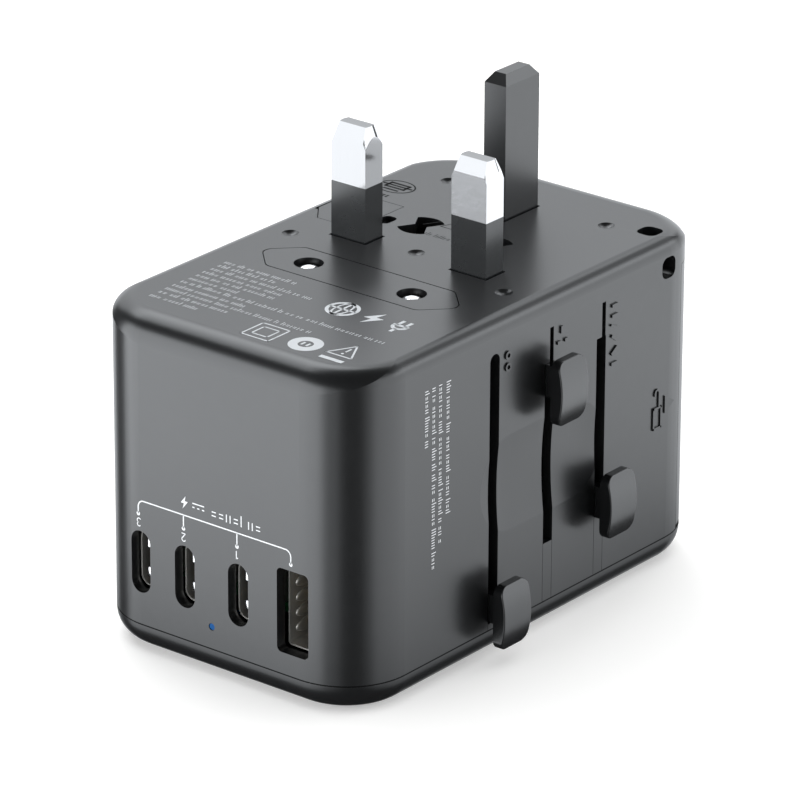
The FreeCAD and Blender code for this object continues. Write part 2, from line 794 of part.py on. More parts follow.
def uk_sleeve(side):
    x = side * uk_pin_spacing / 2
    sleeve_top = body_height + uk_sleeve_height
    sleeve = centred_block(x, uk_row_y, uk_pin_width, uk_pin_depth, uk_plate_top, sleeve_top)
    core = centred_block(x, uk_row_y, uk_core_width, uk_core_depth, uk_plate_top - 1, sleeve_top + 1)
    return sleeve.cut(core)


def uk_earth_pin():
    top = body_height + uk_earth_length
    pin = centred_block(0, uk_earth_y, uk_earth_width, uk_earth_depth, uk_plate_top, top)
    return bevel_tip(pin, 0, uk_earth_y, uk_earth_width, uk_earth_depth, top, (1.0, 1.2), (1.5, 1.5))


def uk_carrier():
    """Slider plate that carries the two mains pins, with an arm round to the earth pin."""
    z0 = uk_plate_top - uk_plate_thickness
    z1 = uk_plate_top
    plate = block(uk_arm_left, arm_outer_x, 0.5, 5.5, z0, z1)
    arm = block(uk_arm_left, uk_arm_right, 5.5, 21.0, z0, z1)
    back = block(uk_arm_left, 3.0, 21.0, 29.5, z0, z1)
    hanger = block(arm_inner_x, arm_outer_x, 0.5, 5.5, slot_high - stem_height - 0.2, z0)
    carrier = plate.fuse([arm, back, hanger])
    pockets = [centred_block(side * uk_pin_spacing / 2, uk_row_y, uk_core_width, uk_core_depth,
                             uk_plate_top - 2.0, uk_plate_top + 1) for side in (-1, 1)]
    return carrier.cut(pockets)


def wipers(x_centres, y0, y1, z0, z1):
    """Folded spring tongues, one for each pole, that slide on the bus bars."""
    made = []
    skin = 0.35
    for x in x_centres:
        foot_y0 = min(y0, y1)
        foot_y1 = max(y0, y1)
        body = block(x - 2, x + 2, foot_y0, foot_y1, z0, z1)
        gap = block(x - 3, x + 3, foot_y0 + skin, foot_y1 - skin, z0 - 1, z1 - skin)
        made.append(body.cut(gap))
    return Part.makeCompound(made)


def eu_carrier():
    z1 = eu_plate_bottom + eu_plate_thickness
    plate = block(-12.6, arm_outer_x, -14.2, -5.8, eu_plate_bottom, z1)
    pockets = [pillar(side * eu_pin_spacing / 2, eu_row_y, eu_pin_core / 2, z1 - 3.0, z1 + 1)
               for side in (-1, 1)]
    return plate.cut(pockets)


def eu_pin(side):
    """Round pin with a domed bare tip above the sleeved shank."""
    x = side * eu_pin_spacing / 2
    radius = eu_pin_diameter / 2
    top = body_height - eu_tip_recess
    bare_start = top - eu_bare_length
    bare = pillar(x, eu_row_y, radius, bare_start, top)
    bare = bare.makeFillet(radius * 0.7, flat_edges_at(bare, top))
    shank = pillar(x, eu_row_y, eu_pin_core / 2, eu_plate_bottom + eu_plate_thickness - 3.0, bare_start)
    return bare.fuse(shank)


def eu_sleeves():
    """Two identical insulating sleeves round the pin shanks."""
    bottom = eu_plate_bottom + eu_plate_thickness
    top = body_height - eu_tip_recess - eu_bare_length
    made = []
    for side in (-1, 1):
        x = side * eu_pin_spacing / 2
        made.append(pillar(x, eu_row_y, eu_pin_diameter / 2, bottom, top).cut(
            pillar(x, eu_row_y, eu_pin_core / 2, bottom - 1, top + 1)))
    return Part.makeCompound(made)


def eu_block():
    shape = eu_outline(0, body_height - eu_block_height, body_height)
    bores = [pillar(side * eu_pin_spacing / 2, eu_row_y, eu_bore_diameter / 2, 0, body_height + 1)
             for side in (-1, 1)]
    return shape.cut(bores)


def us_carrier():
    z1 = us_plate_bottom + us_plate_thickness
    plate = block(-10.6, arm_outer_x, 7.5, 16.5, us_plate_bottom, z1)
    hanger = block(arm_inner_x, arm_outer_x, 11.5, 16.5, slot_low - 0.2, us_plate_bottom)
    pivots = [pillar(side * us_half_spacing, us_row_y, 2.0 + running_gap, us_plate_bottom - 1, z1 + 1)
              for side in (-1, 1)]
    return plate.fuse(hanger).cut(pivots)


def us_rotor(side):
    """Turntable that holds one blade and pivots in the carrier plate."""
    x = side * us_half_spacing
    z0 = us_plate_bottom + us_plate_thickness + running_gap
    disc = pillar(x, us_row_y, us_rotor_radius, z0, z0 + us_rotor_height)
    pivot = pillar(x, us_row_y, 2.0, us_plate_bottom, z0)
    socket = centred_block(x, us_row_y, us_blade_thickness, us_blade_width,
                           z0 + 1.0, z0 + us_rotor_height + 1)
    return disc.fuse(pivot).cut(socket)


def us_blade(side):
    x = side * us_half_spacing
    z0 = us_plate_bottom + us_plate_thickness + running_gap + 1.0
    blade = centred_block(x, us_row_y, us_blade_thickness, us_blade_width, z0, us_blade_top)
    blade = bevel_tip(blade, x, us_row_y, us_blade_thickness, us_blade_width, us_blade_top,
                      (0.4, 0.9), (1.0, 0.9))
    hole = rod_along_x(us_row_y, us_blade_top - 5.0, 1.5, x - 2, x + 2)
    return blade.cut(hole)


# end hatch, fuse lid and shutter
def end_hatch():
    """End panel that wraps onto both corners, with two latch arms and clips for the spare fuse."""
    form = body_form().cut(inner_prism(0, body_height))
    region = block(-half_width - 1, half_width + 1, hatch_start, half_length + 1, hatch_bottom, hatch_top)
    panel = form.common(region)
    extras = []
    for side in (-1, 1):
        x = side * hatch_arm_x
        extras.append(block(x - 1, x + 1, 31.6, inner_half_length + 0.2, 20, 30))
        clip_x = side * 6.5
        clip = block(clip_x - 0.8, clip_x + 0.8, 35.8, inner_half_length + 0.2, 22.6, 29.4)
        bore = rod_along_x(spare_fuse_y, spare_fuse_z, fuse_diameter / 2, clip_x - 2, clip_x + 2)
        extras.append(clip.cut(bore))
    return panel.fuse(extras)


def spare_fuse():
    """Spare cartridge fuse lying across the hatch."""
    tube, caps = fuse_body(fuse_length, fuse_diameter)
    fuse = tube.fuse(caps)
    fuse.rotate(FreeCAD.Vector(0, 0, 0), FreeCAD.Vector(0, 1, 0), 90)
    fuse.translate(FreeCAD.Vector(-fuse_length / 2, spare_fuse_y, spare_fuse_z))
    return fuse


def fuse_lid():
    lid = body_form().common(lid_region(lid_gap))
    plug_half = fuse_diameter / 2 - 0.1
    plug_bottom = fuse_bottom + fuse_length + 0.8
    plug = block(fuse_x - plug_half, fuse_x + plug_half, fuse_y - plug_half, fuse_y + plug_half,
                 plug_bottom, body_height - lid_thickness + 0.1)
    return lid.fuse(plug)


def shutter():
    """Sprung bar that closes the two mains apertures, with a ramp that the earth pin pushes."""
    bar = block(-15.6, 15.6, socket_row_y - shutter_half_width, socket_row_y + shutter_half_width,
                shutter_bottom, shutter_top)
    tail = block(-1.6, 1.6, socket_row_y + shutter_half_width, 20.6, shutter_bottom, shutter_top)
    ramp_corners = [FreeCAD.Vector(-1.6, y, z) for y, z in
                    ((20.6, shutter_bottom), (20.6, shutter_top), (22.0, shutter_top))]
    ramp = Part.Face(Part.makePolygon(ramp_corners + ramp_corners[:1])).extrude(FreeCAD.Vector(3.2, 0, 0))
    return bar.fuse([tail, ramp])


def shutter_spring():
    """Compression spring behind the shutter bar, wound from eight-sided wire."""
    pitch = 1.2
    turns_length = 7.2
    coil_radius = 0.5
    wire_radius = 0.18
    wire_sides = 8
    corners = []
    for number in range(wire_sides):
        angle = 2 * math.pi * (number + 0.5) / wire_sides
        corners.append(FreeCAD.Vector(coil_radius + wire_radius * math.cos(angle), 0,
                                      wire_radius * math.sin(angle)))
    profile = Part.makePolygon(corners + corners[:1])
    helix = Part.makeHelix(pitch, turns_length, coil_radius)
    spring = Part.Wire(helix).makePipeShell([profile], True, True)
    spring.rotate(FreeCAD.Vector(0, 0, 0), FreeCAD.Vector(1, 0, 0), 90)
    start_y = socket_row_y - shutter_half_width - wire_radius - 0.05
    spring.translate(FreeCAD.Vector(0, start_y, (shutter_bottom + shutter_top) / 2))
    return spring


def main():
    os.makedirs("parts", exist_ok=True)
    save("main_housing", main_housing())
    save("socket_cover", socket_cover())
    save("cover_screws", cover_screws())
    save("mid_frame", mid_frame())
    save("charger_partition", charger_partition())
    save("line_contact", pole_contact(-1))
    save("neutral_contact", pole_contact(1))
    save("earth_contact", earth_contact())
    save("line_bus_bar", bus_bar(-1))
    save("neutral_bus_bar", bus_bar(1))
    save("us_bus_bars", Part.makeCompound([us_bar(-1), us_bar(1)]))
    tube, caps = main_fuse()
    save("fuse_tube", tube)
    save("fuse_caps", caps)
    save("fuse_contacts", fuse_contacts())
    save("power_board", power_board())
    save("usb_board", usb_board())
    for number, x in enumerate(usb_c_positions, start=1):
        save("usb_c_shell_%d" % number, usb_c_shell(x))
    save("usb_c_tongues", usb_c_tongues())
    save("usb_a_shell", usb_a_shell())
    save("usb_a_tongue", usb_a_tongue())
    save("usb_a_contacts", usb_a_contacts())
    save("led_chip", led_chip())
    save("light_pipe", light_pipe())
    save("transformer_core", transformer_core())
    save("transformer_winding", transformer_winding())
    save("bulk_capacitor", can_capacitor(9.0, 34.0, 5.0, 18.0))
    save("output_capacitor", can_capacitor(-12.0, 16.0, 3.15, 8.0))
    save("bridge_rectifier", bridge_rectifier())
    save("y_capacitor", y_capacitor())
    save("inductor", inductor())

    uk_stem_z = slot_high - stem_height / 2
    us_stem_z = slot_low + stem_height / 2
    eu_stem_z = eu_slot_low + eu_stem_lift + eu_stem_height / 2
    save("uk_carrier", uk_carrier())
    save("uk_knob", knob(uk_slot_y, uk_knob_z, uk_stem_z, stem_height))
    for name, side in (("line", -1), ("neutral", 1)):
        save("uk_%s_pin" % name, uk_pin(side))
        save("uk_%s_sleeve" % name, uk_sleeve(side))
    save("uk_earth_pin", uk_earth_pin())
    save("uk_wipers", wipers((-12.0, 12.0), bar_back + running_gap, 0.5,
                             uk_plate_top - uk_plate_thickness, uk_plate_top))
    save("eu_carrier", eu_carrier())
    save("eu_knob", knob(eu_slot_y, eu_knob_z, eu_stem_z, eu_stem_height))
    save("eu_left_pin", eu_pin(-1))
    save("eu_right_pin", eu_pin(1))
    save("eu_sleeves", eu_sleeves())
    save("eu_wipers", wipers((-10.6, 12.0), -5.8, bar_front - running_gap,
                             eu_plate_bottom, eu_plate_bottom + eu_plate_thickness))
    save("eu_block", eu_block())
    save("us_carrier", us_carrier())
    save("us_knob", knob(us_slot_y, us_knob_z, us_stem_z, stem_height))
    save("us_wipers", wipers((-7.5, 7.5), us_bar_back + running_gap, 7.5,
                             us_plate_bottom, us_plate_bottom + us_plate_thickness))
    for name, side in (("left", -1), ("right", 1)):
        save("us_%s_rotor" % name, us_rotor(side))
        save("us_%s_blade" % name, us_blade(side))
    save("end_hatch", end_hatch())
    save("spare_fuse", spare_fuse())
    save("fuse_lid", fuse_lid())
    save("shutter", shutter())
    save("shutter_spring", shutter_spring())


main()
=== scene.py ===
import bpy
import bmesh
import json
import math
import random
from mathutils import Matrix, Vector


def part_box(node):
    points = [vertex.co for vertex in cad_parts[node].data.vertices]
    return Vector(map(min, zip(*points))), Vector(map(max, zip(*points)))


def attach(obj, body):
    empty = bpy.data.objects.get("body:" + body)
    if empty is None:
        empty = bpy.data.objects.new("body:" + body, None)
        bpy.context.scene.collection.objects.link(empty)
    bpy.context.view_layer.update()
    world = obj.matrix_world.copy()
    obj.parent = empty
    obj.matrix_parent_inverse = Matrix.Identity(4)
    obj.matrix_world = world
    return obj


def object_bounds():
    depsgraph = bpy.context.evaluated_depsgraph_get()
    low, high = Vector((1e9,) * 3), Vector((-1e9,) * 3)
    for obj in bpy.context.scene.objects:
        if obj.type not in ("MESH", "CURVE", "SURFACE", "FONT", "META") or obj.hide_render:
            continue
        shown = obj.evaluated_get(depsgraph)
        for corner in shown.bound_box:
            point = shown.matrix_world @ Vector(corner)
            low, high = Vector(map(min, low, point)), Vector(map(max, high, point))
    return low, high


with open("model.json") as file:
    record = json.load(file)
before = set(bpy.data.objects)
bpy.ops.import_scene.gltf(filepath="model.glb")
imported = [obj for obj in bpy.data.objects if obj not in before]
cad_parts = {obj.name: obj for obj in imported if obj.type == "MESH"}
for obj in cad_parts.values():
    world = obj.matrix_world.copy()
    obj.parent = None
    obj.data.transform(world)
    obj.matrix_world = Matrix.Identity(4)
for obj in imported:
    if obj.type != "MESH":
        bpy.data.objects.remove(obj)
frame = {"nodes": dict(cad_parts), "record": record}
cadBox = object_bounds()
nodes = frame["nodes"]
mm = 0.001
print("frame loaded:", len(nodes), "nodes")

# the camera stands far back with a long lens
viewPoint = {
    "azimuth": 38.673, "elevation": 22.708, "roll": -0.222,  # degrees
    "distance": 0.881117, "lens": 268.34, "sensor": 36.0, "nearest": 0.01, "farthest": 20,
    "asideRight": -0.000313, "asideUp": 0.027555,  # metres across the line of sight
}


def cameraAxes(view):
    a, e, r = (math.radians(view[k]) for k in ("azimuth", "elevation", "roll"))
    right = Vector((math.cos(a), math.sin(a), 0))
    back = Vector((math.sin(a) * math.cos(e), -math.cos(a) * math.cos(e), math.sin(e)))
    up = back.cross(right)
    turnedRight = right * math.cos(r) - up * math.sin(r)
    turnedUp = right * math.sin(r) + up * math.cos(r)
    return turnedRight, turnedUp, back


def makeCamera(view):
    right, up, back = cameraAxes(view)
    data = bpy.data.cameras.new("camera")
    data.lens = view["lens"]
    data.sensor_width = view["sensor"]
    data.clip_start = view["nearest"]
    data.clip_end = view["farthest"]
    camera = bpy.data.objects.new("camera", data)
    bpy.context.scene.collection.objects.link(camera)
    turn = Matrix((right, up, back)).transposed().to_4x4()
    place = right * view["asideRight"] + up * view["asideUp"] + back * view["distance"]
    camera.matrix_world = Matrix.Translation(place) @ turn
    bpy.context.scene.camera = camera


makeCamera(viewPoint)

studio = {
    "floorSize": 12.0, "floorDrop": 0.02 * mm, "floorColor": (0.82, 0.795, 0.765),
    "floorRoughness": 0.9, "floorGlow": 0.33,
    # painted shade: how far from the object the floor is dimmed in what its sides reflect and in shadow rays,
    # and how strongly
    "contactReach": 32 * mm, "contactDepth": 0.6,
    "ambient": 0.08, "backdrop": 1.0, "tint": (0.93, 0.965, 1.0),
    "middle": (0, 0, 30 * mm), "distance": 1.4,
}
# panels by what they reach ("body" is everything but the bare pins), each with its azimuth from -Y
# towards +X, its elevation, the angles from its middle to its side and top edges, and its radiance
softboxes = {
    "floor": {"overhead": (0, 90, 35, 35, 1.25)},
    "body": {
        "frontLeft": (-34, -6, 35, 33, 2.9),
        "frontEdge": (-21, -6, 48, 37, 1.2),
        "rightSide": (121, -3, 41, 35, 1.4),
        "rightEdge": (116, 0, 50, 40, 0.9),
        "behind": (-134, 38, 34, 22, 1.5),
        "aboveLeft": (-106, 52, 22, 13, 3.0),
        "aboveBehind": (168, 38, 24, 10, 1.0),
        "rightRim": (139, 24, 20, 7, 1.5),
    },
    "everything": {"lowBehind": (-150, -14, 42, 28, 1.5)},
    "pins": {
        "metalFront": (-29, -6, 41, 33, 1.12),
        "metalRight": (120, -3, 41, 35, 1.3),
        "metalBehind": (-134, 38, 34, 22, 0.5),
    },
    "ports": {"intoPorts": (46, 12, 14, 14, 9.0)},
}
lights = {}


def makeSoftbox(name, azimuth, elevation, halfWide, halfTall, radiance):
    a, e = math.radians(azimuth), math.radians(elevation)
    toLight = Vector((math.sin(a) * math.cos(e), -math.cos(a) * math.cos(e), math.sin(e)))
    width = 2 * studio["distance"] * math.tan(math.radians(halfWide))
    height = 2 * studio["distance"] * math.tan(math.radians(halfTall))
    data = bpy.data.lights.new(name, "AREA")
    data.shape = "RECTANGLE"
    data.size = width
    data.size_y = height
    data.energy = radiance * math.pi * width * height
    data.color = studio["tint"]
    light = bpy.data.objects.new(name, data)
    bpy.context.scene.collection.objects.link(light)
    light.location = Vector(studio["middle"]) + toLight * studio["distance"]
    light.rotation_euler = toLight.to_track_quat("Z", "Y").to_euler()
    light.visible_camera = False
    lights[name] = light


def addNode(tree, kind, values=None, **settings):
    node = tree.nodes.new(kind)
    for key, value in settings.items():
        setattr(node, key, value)
    for key, value in (values or {}).items():
        node.inputs[key].default_value = value
    return node


def mathNode(tree, operation, *inputs):
    node = addNode(tree, "ShaderNodeMath", operation=operation)
    for index, given in enumerate(inputs):
        if isinstance(given, (int, float)):
            node.inputs[index].default_value = given
        else:
            tree.links.new(given, node.inputs[index])
    return node.outputs[0]


def floorFinish():
    # painted shade: rays that pass through to the low softboxes are dimmed by a fixed fade close to the
    # object's footprint
    material = bpy.data.materials.new("paleFloor")
    material.use_nodes = True
    tree = material.node_tree
    shader = tree.nodes["Principled BSDF"]
    shader.inputs["Base Color"].default_value = (*studio["floorColor"], 1)
    shader.inputs["Roughness"].default_value = studio["floorRoughness"]
    shader.inputs["Specular IOR Level"].default_value = 0.0
    shader.inputs["Emission Color"].default_value = (1, 1, 1, 1)
    shader.inputs["Emission Strength"].default_value = studio["floorGlow"]
    position = addNode(tree, "ShaderNodeNewGeometry").outputs["Position"]
    split = addNode(tree, "ShaderNodeSeparateXYZ")
    tree.links.new(position, split.inputs[0])
    squares = []
    for axis, half in ((0, cadBox[1][0]), (1, cadBox[1][1])):
        past = mathNode(tree, "SUBTRACT", mathNode(tree, "ABSOLUTE", split.outputs[axis]), half)
        squares.append(mathNode(tree, "POWER", mathNode(tree, "MAXIMUM", past, 0.0), 2.0))
    away = mathNode(tree, "SQRT", mathNode(tree, "ADD", *squares))
    fade = mathNode(tree, "EXPONENT", mathNode(tree, "DIVIDE", away, -studio["contactReach"]))
    passing = mathNode(tree, "MULTIPLY_ADD", fade, -studio["contactDepth"], 1.0)
    clear = addNode(tree, "ShaderNodeBsdfTransparent")
    tree.links.new(passing, clear.inputs["Color"])
    path = addNode(tree, "ShaderNodeLightPath")
    through = mathNode(tree, "MAXIMUM", path.outputs["Is Glossy Ray"], path.outputs["Is Shadow Ray"])
    mix = addNode(tree, "ShaderNodeMixShader")
    tree.links.new(through, mix.inputs[0])
    tree.links.new(shader.outputs[0], mix.inputs[1])
    tree.links.new(clear.outputs[0], mix.inputs[2])
    tree.links.new(mix.outputs[0], tree.nodes["Material Output"].inputs["Surface"])
    return material


def makeFloor():
    half = studio["floorSize"] / 2
    mesh = bpy.data.meshes.new("floor")
    corners = [(-half, -half, 0), (half, -half, 0), (half, half, 0), (-half, half, 0)]
    mesh.from_pydata(corners, [], [(0, 1, 2, 3)])
    mesh.materials.append(floorFinish())
    floor = bpy.data.objects.new("floor", mesh)
    bpy.context.scene.collection.objects.link(floor)
    floor.location.z = -studio["floorDrop"]
    return floor


def makeWorld():
    world = bpy.data.worlds.new("studio")
    bpy.context.scene.world = world
    world.use_nodes = True
    tree = world.node_tree
    background = tree.nodes["Background"]
    background.inputs["Color"].default_value = (1, 1, 1, 1)
    path = addNode(tree, "ShaderNodeLightPath")
    limits = {"To Min": studio["ambient"], "To Max": studio["backdrop"]}
    strength = addNode(tree, "ShaderNodeMapRange", limits)
    tree.links.new(path.outputs["Is Camera Ray"], strength.inputs["Value"])
    tree.links.new(strength.outputs["Result"], background.inputs["Strength"])


for panels in softboxes.values():
    for panelName, settings in panels.items():
        makeSoftbox(panelName, *settings)
floor = makeFloor()
makeWorld()
bpy.context.scene.view_settings.view_transform = "Standard"
print("studio ready:", len(lights), "softboxes")


def newGroup(name, inputs, outputs):
    group = bpy.data.node_groups.new(name, "ShaderNodeTree")
    for label, kind, value in inputs:
        socket = group.interface.new_socket(name=label, in_out="INPUT", socket_type=kind)
        socket.default_value = value
    for label, kind in outputs:
        group.interface.new_socket(name=label, in_out="OUTPUT", socket_type=kind)
    return group, addNode(group, "NodeGroupInput"), addNode(group, "NodeGroupOutput")


def makeMouldedGrain():
    # fine spark-eroded texture of a moulding, with slow drift in tone and gloss
    group, given, made = newGroup(
        "mouldedGrain",
        [("Color", "NodeSocketColor", (0.03, 0.03, 0.03, 1)), ("Tone Drift", "NodeSocketFloat", 0.06),
         ("Roughness", "NodeSocketFloat", 0.3), ("Gloss Drift", "NodeSocketFloat", 0.03),
         ("Grain Size", "NodeSocketFloat", 9000.0)],
        [("Color", "NodeSocketColor"), ("Roughness", "NodeSocketFloat"), ("Height", "NodeSocketFloat")])
    link = group.links.new
    where = addNode(group, "ShaderNodeTexCoord")
    drift = addNode(group, "ShaderNodeTexNoise", {"Scale": 60.0, "Detail": 3.0})
    grain = addNode(group, "ShaderNodeTexNoise", {"Detail": 1.0, "Roughness": 0.6})
    link(where.outputs["Object"], drift.inputs["Vector"])
    link(where.outputs["Object"], grain.inputs["Vector"])
    link(given.outputs["Grain Size"], grain.inputs["Scale"])
    centred = mathNode(group, "SUBTRACT", drift.outputs["Fac"], 0.5)
    tone = mathNode(group, "MULTIPLY_ADD", centred, given.outputs["Tone Drift"], 1.0)
    tint = addNode(group, "ShaderNodeVectorMath", operation="SCALE")
    link(given.outputs["Color"], tint.inputs[0])
    link(tone, tint.inputs["Scale"])
    gloss = mathNode(group, "MULTIPLY_ADD", centred, given.outputs["Gloss Drift"],
                     given.outputs["Roughness"])
    link(tint.outputs[0], made.inputs["Color"])
    link(gloss, made.inputs["Roughness"])
    link(grain.outputs["Fac"], made.inputs["Height"])
    return group


def makeEdgeWear():
    # lighter tone where the surface turns sharply outwards
    group, given, made = newGroup(
        "edgeWear",
        [("Color", "NodeSocketColor", (0.03, 0.03, 0.03, 1)),
         ("Worn Color", "NodeSocketColor", (0.1, 0.1, 0.1, 1)),
         ("Amount", "NodeSocketFloat", 0.4), ("Breakup", "NodeSocketFloat", 500.0)],
        [("Color", "NodeSocketColor"), ("Mask", "NodeSocketFloat")])
    link = group.links.new
    geometry = addNode(group, "ShaderNodeNewGeometry")
    where = addNode(group, "ShaderNodeTexCoord")
    ridge = addNode(group, "ShaderNodeMapRange", {"From Min": 0.52, "From Max": 0.62})
    patchy = addNode(group, "ShaderNodeTexNoise", {"Detail": 4.0})
    link(where.outputs["Object"], patchy.inputs["Vector"])
    link(given.outputs["Breakup"], patchy.inputs["Scale"])
    link(geometry.outputs["Pointiness"], ridge.inputs["Value"])
    worn = mathNode(group, "MULTIPLY", ridge.outputs["Result"], patchy.outputs["Fac"])
    scaled = mathNode(group, "MULTIPLY", worn, given.outputs["Amount"])
    mix = addNode(group, "ShaderNodeMix", data_type="RGBA")
    link(scaled, mix.inputs["Factor"])
    link(given.outputs["Color"], mix.inputs["A"])
    link(given.outputs["Worn Color"], mix.inputs["B"])
    link(mix.outputs["Result"], made.inputs["Color"])
    link(scaled, made.inputs["Mask"])
    return group


def makeDrawnMetal():
    # hairline streaks along one axis, as left by drawing or stamping
    group, given, made = newGroup(
        "drawnMetal",
        [("Color", "NodeSocketColor", (0.6, 0.6, 0.6, 1)), ("Roughness", "NodeSocketFloat", 0.2),
         ("Streak Scale", "NodeSocketVector", (4000.0, 4000.0, 60.0)),
         ("Contrast", "NodeSocketFloat", 0.12)],
        [("Color", "NodeSocketColor"), ("Roughness", "NodeSocketFloat"), ("Height", "NodeSocketFloat")])
    link = group.links.new
    where = addNode(group, "ShaderNodeTexCoord")
    stretch = addNode(group, "ShaderNodeVectorMath", operation="MULTIPLY")
    streak = addNode(group, "ShaderNodeTexNoise", {"Scale": 1.0, "Detail": 3.0})
    link(where.outputs["Object"], stretch.inputs[0])
    link(given.outputs["Streak Scale"], stretch.inputs[1])
    link(stretch.outputs[0], streak.inputs["Vector"])
    centred = mathNode(group, "SUBTRACT", streak.outputs["Fac"], 0.5)
    tone = mathNode(group, "MULTIPLY_ADD", centred, given.outputs["Contrast"], 1.0)
    tint = addNode(group, "ShaderNodeVectorMath", operation="SCALE")
    link(given.outputs["Color"], tint.inputs[0])
    link(tone, tint.inputs["Scale"])
    gloss = mathNode(group, "MULTIPLY_ADD", centred, given.outputs["Contrast"],
                     given.outputs["Roughness"])
    link(tint.outputs[0], made.inputs["Color"])
    link(gloss, made.inputs["Roughness"])
    link(streak.outputs["Fac"], made.inputs["Height"])
    return group


mouldedGrain = makeMouldedGrain()
edgeWear = makeEdgeWear()
drawnMetal = makeDrawnMetal()


def placeGroup(tree, group, values):
    node = addNode(tree, "ShaderNodeGroup", node_tree=group)
    for key, value in values.items():
        node.inputs[key].default_value = value
    return node


def startMaterial(name):
    material = bpy.data.materials.new(name)
    material.use_nodes = True
    return material, material.node_tree, material.node_tree.nodes["Principled BSDF"]


bumpDepth = 0.01 * mm


def addBump(tree, shader, height, strength):
    bump = addNode(tree, "ShaderNodeBump", {"Strength": strength, "Distance": bumpDepth})
    tree.links.new(height, bump.inputs["Height"])
    tree.links.new(bump.outputs["Normal"], shader.inputs["Normal"])


def mouldedPlastic(name, color, roughness, toneDrift=0.06, glossDrift=0.04, grainSize=9000.0,
                   bump=0.12, wear=0.35, specular=0.5):
    material, tree, shader = startMaterial(name)
    shader.inputs["Specular IOR Level"].default_value = specular
    grain = placeGroup(tree, mouldedGrain, {
        "Color": (*color, 1), "Tone Drift": toneDrift, "Roughness": roughness,
        "Gloss Drift": glossDrift, "Grain Size": grainSize})
    lighter = tuple(min(1.0, 1.8 * c + 0.01) for c in color)
    edge = placeGroup(tree, edgeWear, {"Worn Color": (*lighter, 1), "Amount": wear})
    tree.links.new(grain.outputs["Color"], edge.inputs["Color"])
    tree.links.new(edge.outputs["Color"], shader.inputs["Base Color"])
    tree.links.new(grain.outputs["Roughness"], shader.inputs["Roughness"])
    addBump(tree, shader, grain.outputs["Height"], bump)
    return material


def metal(name, color, roughness, streaks=(4000.0, 4000.0, 60.0), contrast=0.12, bump=0.05):
    material, tree, shader = startMaterial(name)
    drawn = placeGroup(tree, drawnMetal, {
        "Color": (*color, 1), "Roughness": roughness, "Streak Scale": streaks, "Contrast": contrast})
    shader.inputs["Metallic"].default_value = 1.0
    tree.links.new(drawn.outputs["Color"], shader.inputs["Base Color"])
    tree.links.new(drawn.outputs["Roughness"], shader.inputs["Roughness"])
    addBump(tree, shader, drawn.outputs["Height"], bump)
    return material


finishes = {
    "shell": mouldedPlastic("greyShell", (0.0065, 0.0068, 0.0072), 0.29, specular=0.62),
    "knob": mouldedPlastic("greyKnob", (0.005, 0.0053, 0.0057), 0.24, grainSize=12000.0, specular=0.72),
    "inner_plastic": mouldedPlastic("darkInner", (0.012, 0.012, 0.013), 0.5),
    "black_plastic": mouldedPlastic("blackInsulation", (0.012, 0.013, 0.0135), 0.22, bump=0.05),
    "nickel": metal("brightNickel", (0.82, 0.82, 0.83), 0.08, contrast=0.05, bump=0.02),
    "brass": metal("stampedBrass", (0.72, 0.52, 0.22), 0.28),
    "steel": metal("platedSteel", (0.62, 0.62, 0.64), 0.22),
    "dark_steel": metal("portSteel", (0.5, 0.485, 0.45), 0.5, streaks=(4000.0, 60.0, 4000.0)),
    "ceramic": mouldedPlastic("whiteCeramic", (0.78, 0.77, 0.72), 0.3),
    "circuit_board": mouldedPlastic("greenBoard", (0.01, 0.09, 0.03), 0.3),
    "blue_light": mouldedPlastic("blueLight", (0.0, 0.065, 0.22), 0.3, wear=0.0, specular=0.1),
    "ferrite": mouldedPlastic("ferrite", (0.03, 0.03, 0.032), 0.6, grainSize=3000.0, bump=0.4),
    "winding_tape": mouldedPlastic("yellowTape", (0.75, 0.5, 0.05), 0.35),
    "capacitor_can": metal("capacitorCan", (0.75, 0.75, 0.77), 0.3),
    "blue_epoxy": mouldedPlastic("blueEpoxy", (0.02, 0.08, 0.45), 0.25),
    "copper": metal("copperWire", (0.72, 0.3, 0.12), 0.3),
}
whiteInk = mouldedPlastic("whiteInk", (0.72, 0.73, 0.74), 0.5, toneDrift=0.1, grainSize=15000.0,
                          wear=0.0)
# black print ink, also laid in the seam groove as painted shade
blackPrintAndShade = mouldedPlastic("blackPrintAndShade", (0.002, 0.002, 0.002), 0.6, wear=0.0, specular=0.1)
goldPlate = metal("goldPlate", (0.9, 0.68, 0.32), 0.2)

slotOf = {part["node"]: part["material_slot"] for part in frame["record"]["subparts"]}
for nodeName, node in nodes.items():
    node.data.materials.clear()
    node.data.materials.append(finishes[slotOf[nodeName]])
print("finishes on", len(nodes), "nodes")


# flat shapes are lists of closed outlines in millimetres, (across, up) on the face they lie on
def bar(x0, y0, x1, y1, width):
    along = Vector((x1 - x0, y1 - y0)).normalized() * (width / 2)
    side = Vector((-along.y, along.x))
    a, b = Vector((x0, y0)), Vector((x1, y1))
    return [[tuple(p) for p in (a - side, b - side, b + side, a + side)]]


def brokenLine(points, width, closed=False):
    ends = list(zip(points, points[1:] + points[:1] if closed else points[1:]))
    reach = width / 2
    shapes = []
    for (x0, y0), (x1, y1) in ends:
        out = Vector((x1 - x0, y1 - y0)).normalized() * reach
        shapes += bar(x0 - out.x, y0 - out.y, x1 + out.x, y1 + out.y, width)
    return shapes


def arc(cx, cy, radius, start, end, width, steps=20, squash=1.0):
    inner, outer = [], []
    for step in range(steps + 1):
        angle = math.radians(start + (end - start) * step / steps)
        for ring, r in ((inner, radius - width / 2), (outer, radius + width / 2)):
            ring.append((cx + r * math.cos(angle), cy + r * squash * math.sin(angle)))
    return [outer + inner[::-1]]


def disc(cx, cy, radius, steps=28):
    turn = 2 * math.pi / steps
    return [[(cx + radius * math.cos(i * turn), cy + radius * math.sin(i * turn)) for i in range(steps)]]


def shifted(shapes, dx, dy):
    return [[(x + dx, y + dy) for x, y in outline] for outline in shapes]


